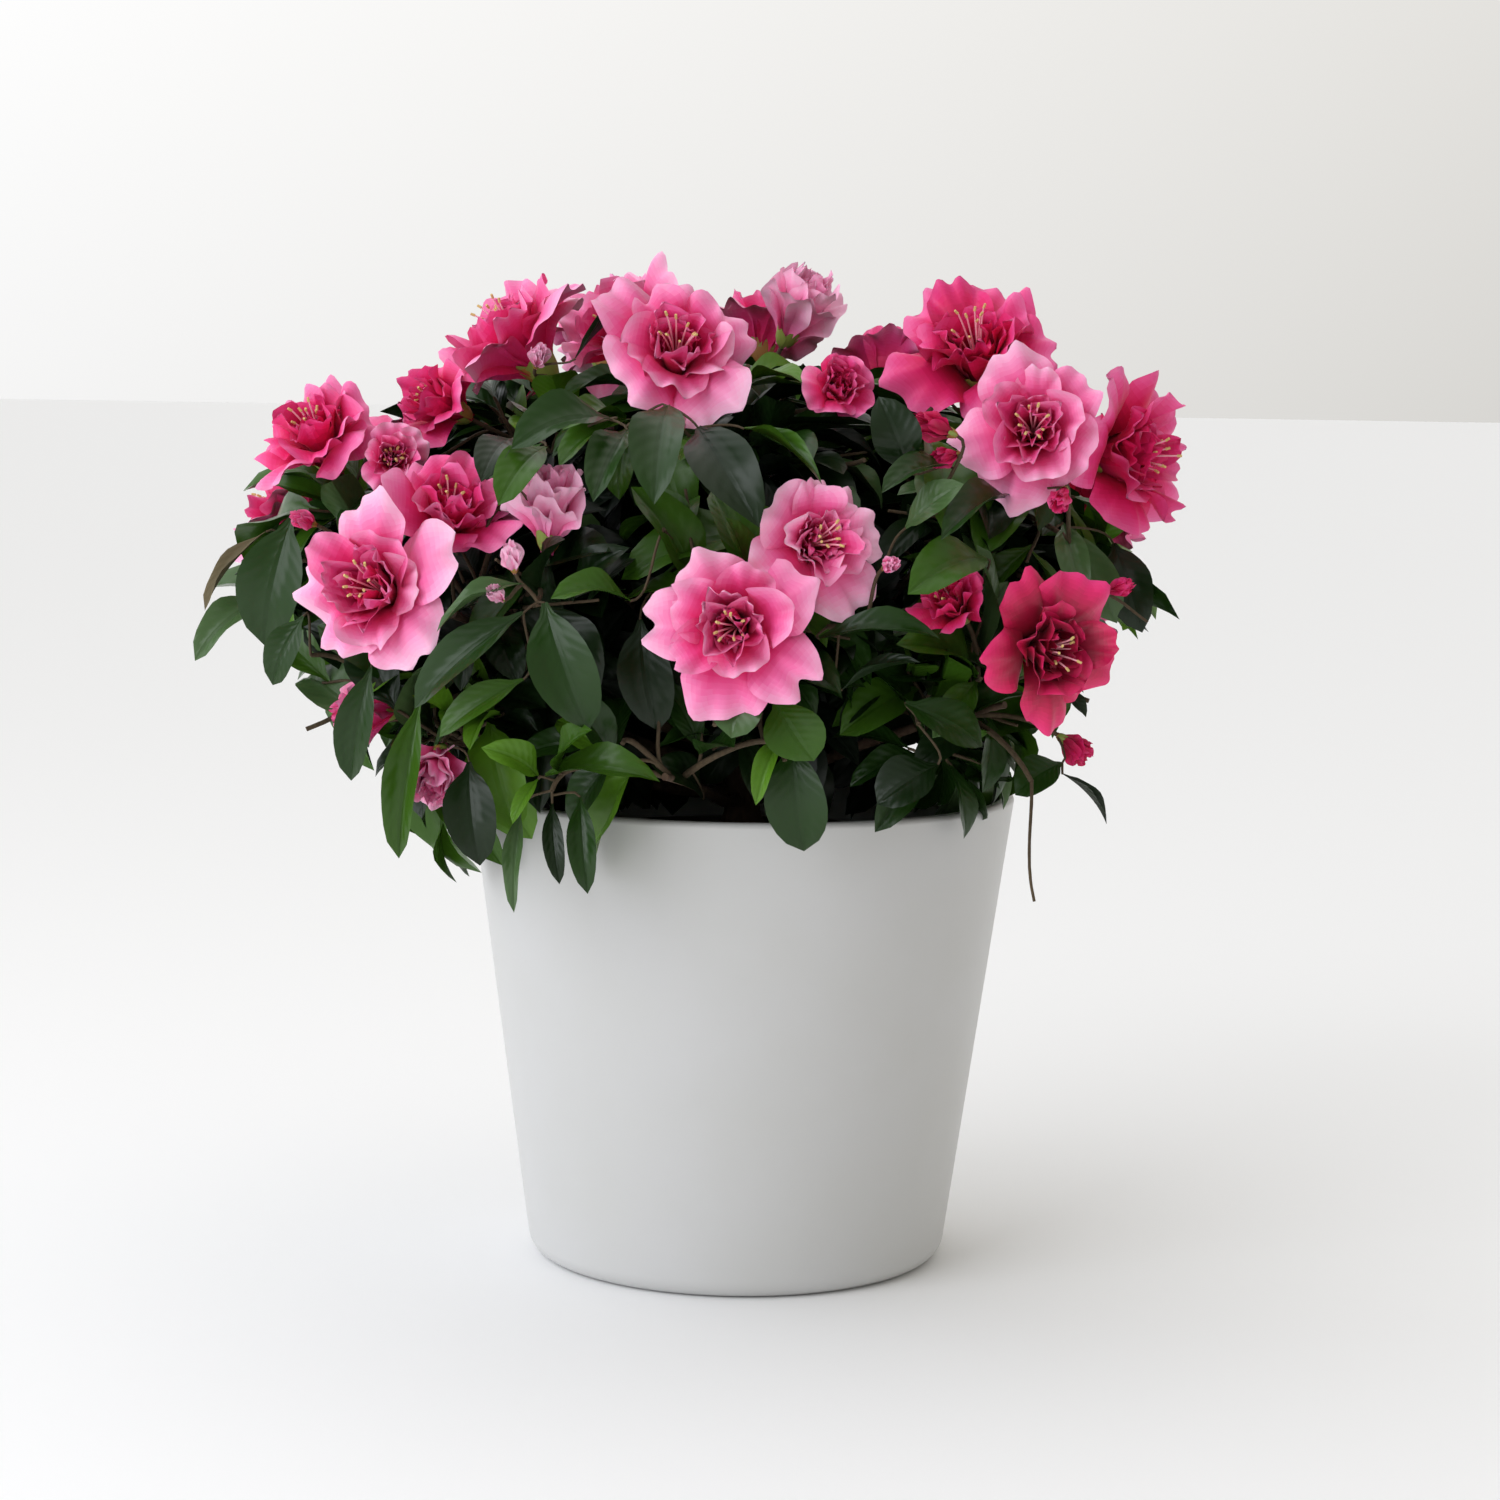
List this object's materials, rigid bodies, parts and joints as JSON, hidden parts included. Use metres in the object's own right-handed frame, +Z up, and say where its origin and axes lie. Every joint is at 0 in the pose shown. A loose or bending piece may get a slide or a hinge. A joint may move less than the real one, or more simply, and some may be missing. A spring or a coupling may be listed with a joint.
{
  "type": "potted azalea",
  "caption": "Pink double azalea shrub in a tapered white ceramic pot: stem, boughs and separate masses of leaves, twigs and flowers.",
  "frame": {"origin": "centre of the pot's flat underside, on the ground", "axes": "+Z up along the pot's axis, -Y towards the side that the plant is seen from, +X to the right of that side"},
  "size_m": [0.2984, 0.2749, 0.3097],
  "materials": {
    "white_glaze": "satin",
    "compost": "matte",
    "bark": "matte",
    "foliage": "satin"
  },
  "bodies": {
    "root": {"bough_back": "bark", "bough_back_left": "bark", "bough_back_low_left": "bark", "bough_back_low_right": "bark", "bough_back_right": "bark", "bough_front": "bark", "bough_front_low": "bark", "bough_left_front": "bark", "bough_left_high": "bark", "bough_left_low": "bark", "bough_left_outer": "bark", "bough_right_front": "bark", "bough_right_outer": "bark", "bough_right_shoulder": "bark", "bough_top": "bark", "bough_top_left": "bark", "compost": "compost", "foliage_back": "foliage", "foliage_back_left": "foliage", "foliage_back_low_left": "foliage", "foliage_back_low_right": "foliage", "foliage_back_right": "foliage", "foliage_front": "foliage", "foliage_front_low": "foliage", "foliage_left_front": "foliage", "foliage_left_high": "foliage", "foliage_left_low": "foliage", "foliage_left_outer": "foliage", "foliage_right_front": "foliage", "foliage_right_outer": "foliage", "foliage_right_shoulder": "foliage", "foliage_top": "foliage", "foliage_top_left": "foliage", "pot": "white_glaze", "stem": "bark"}
  },
  "joints": []
}
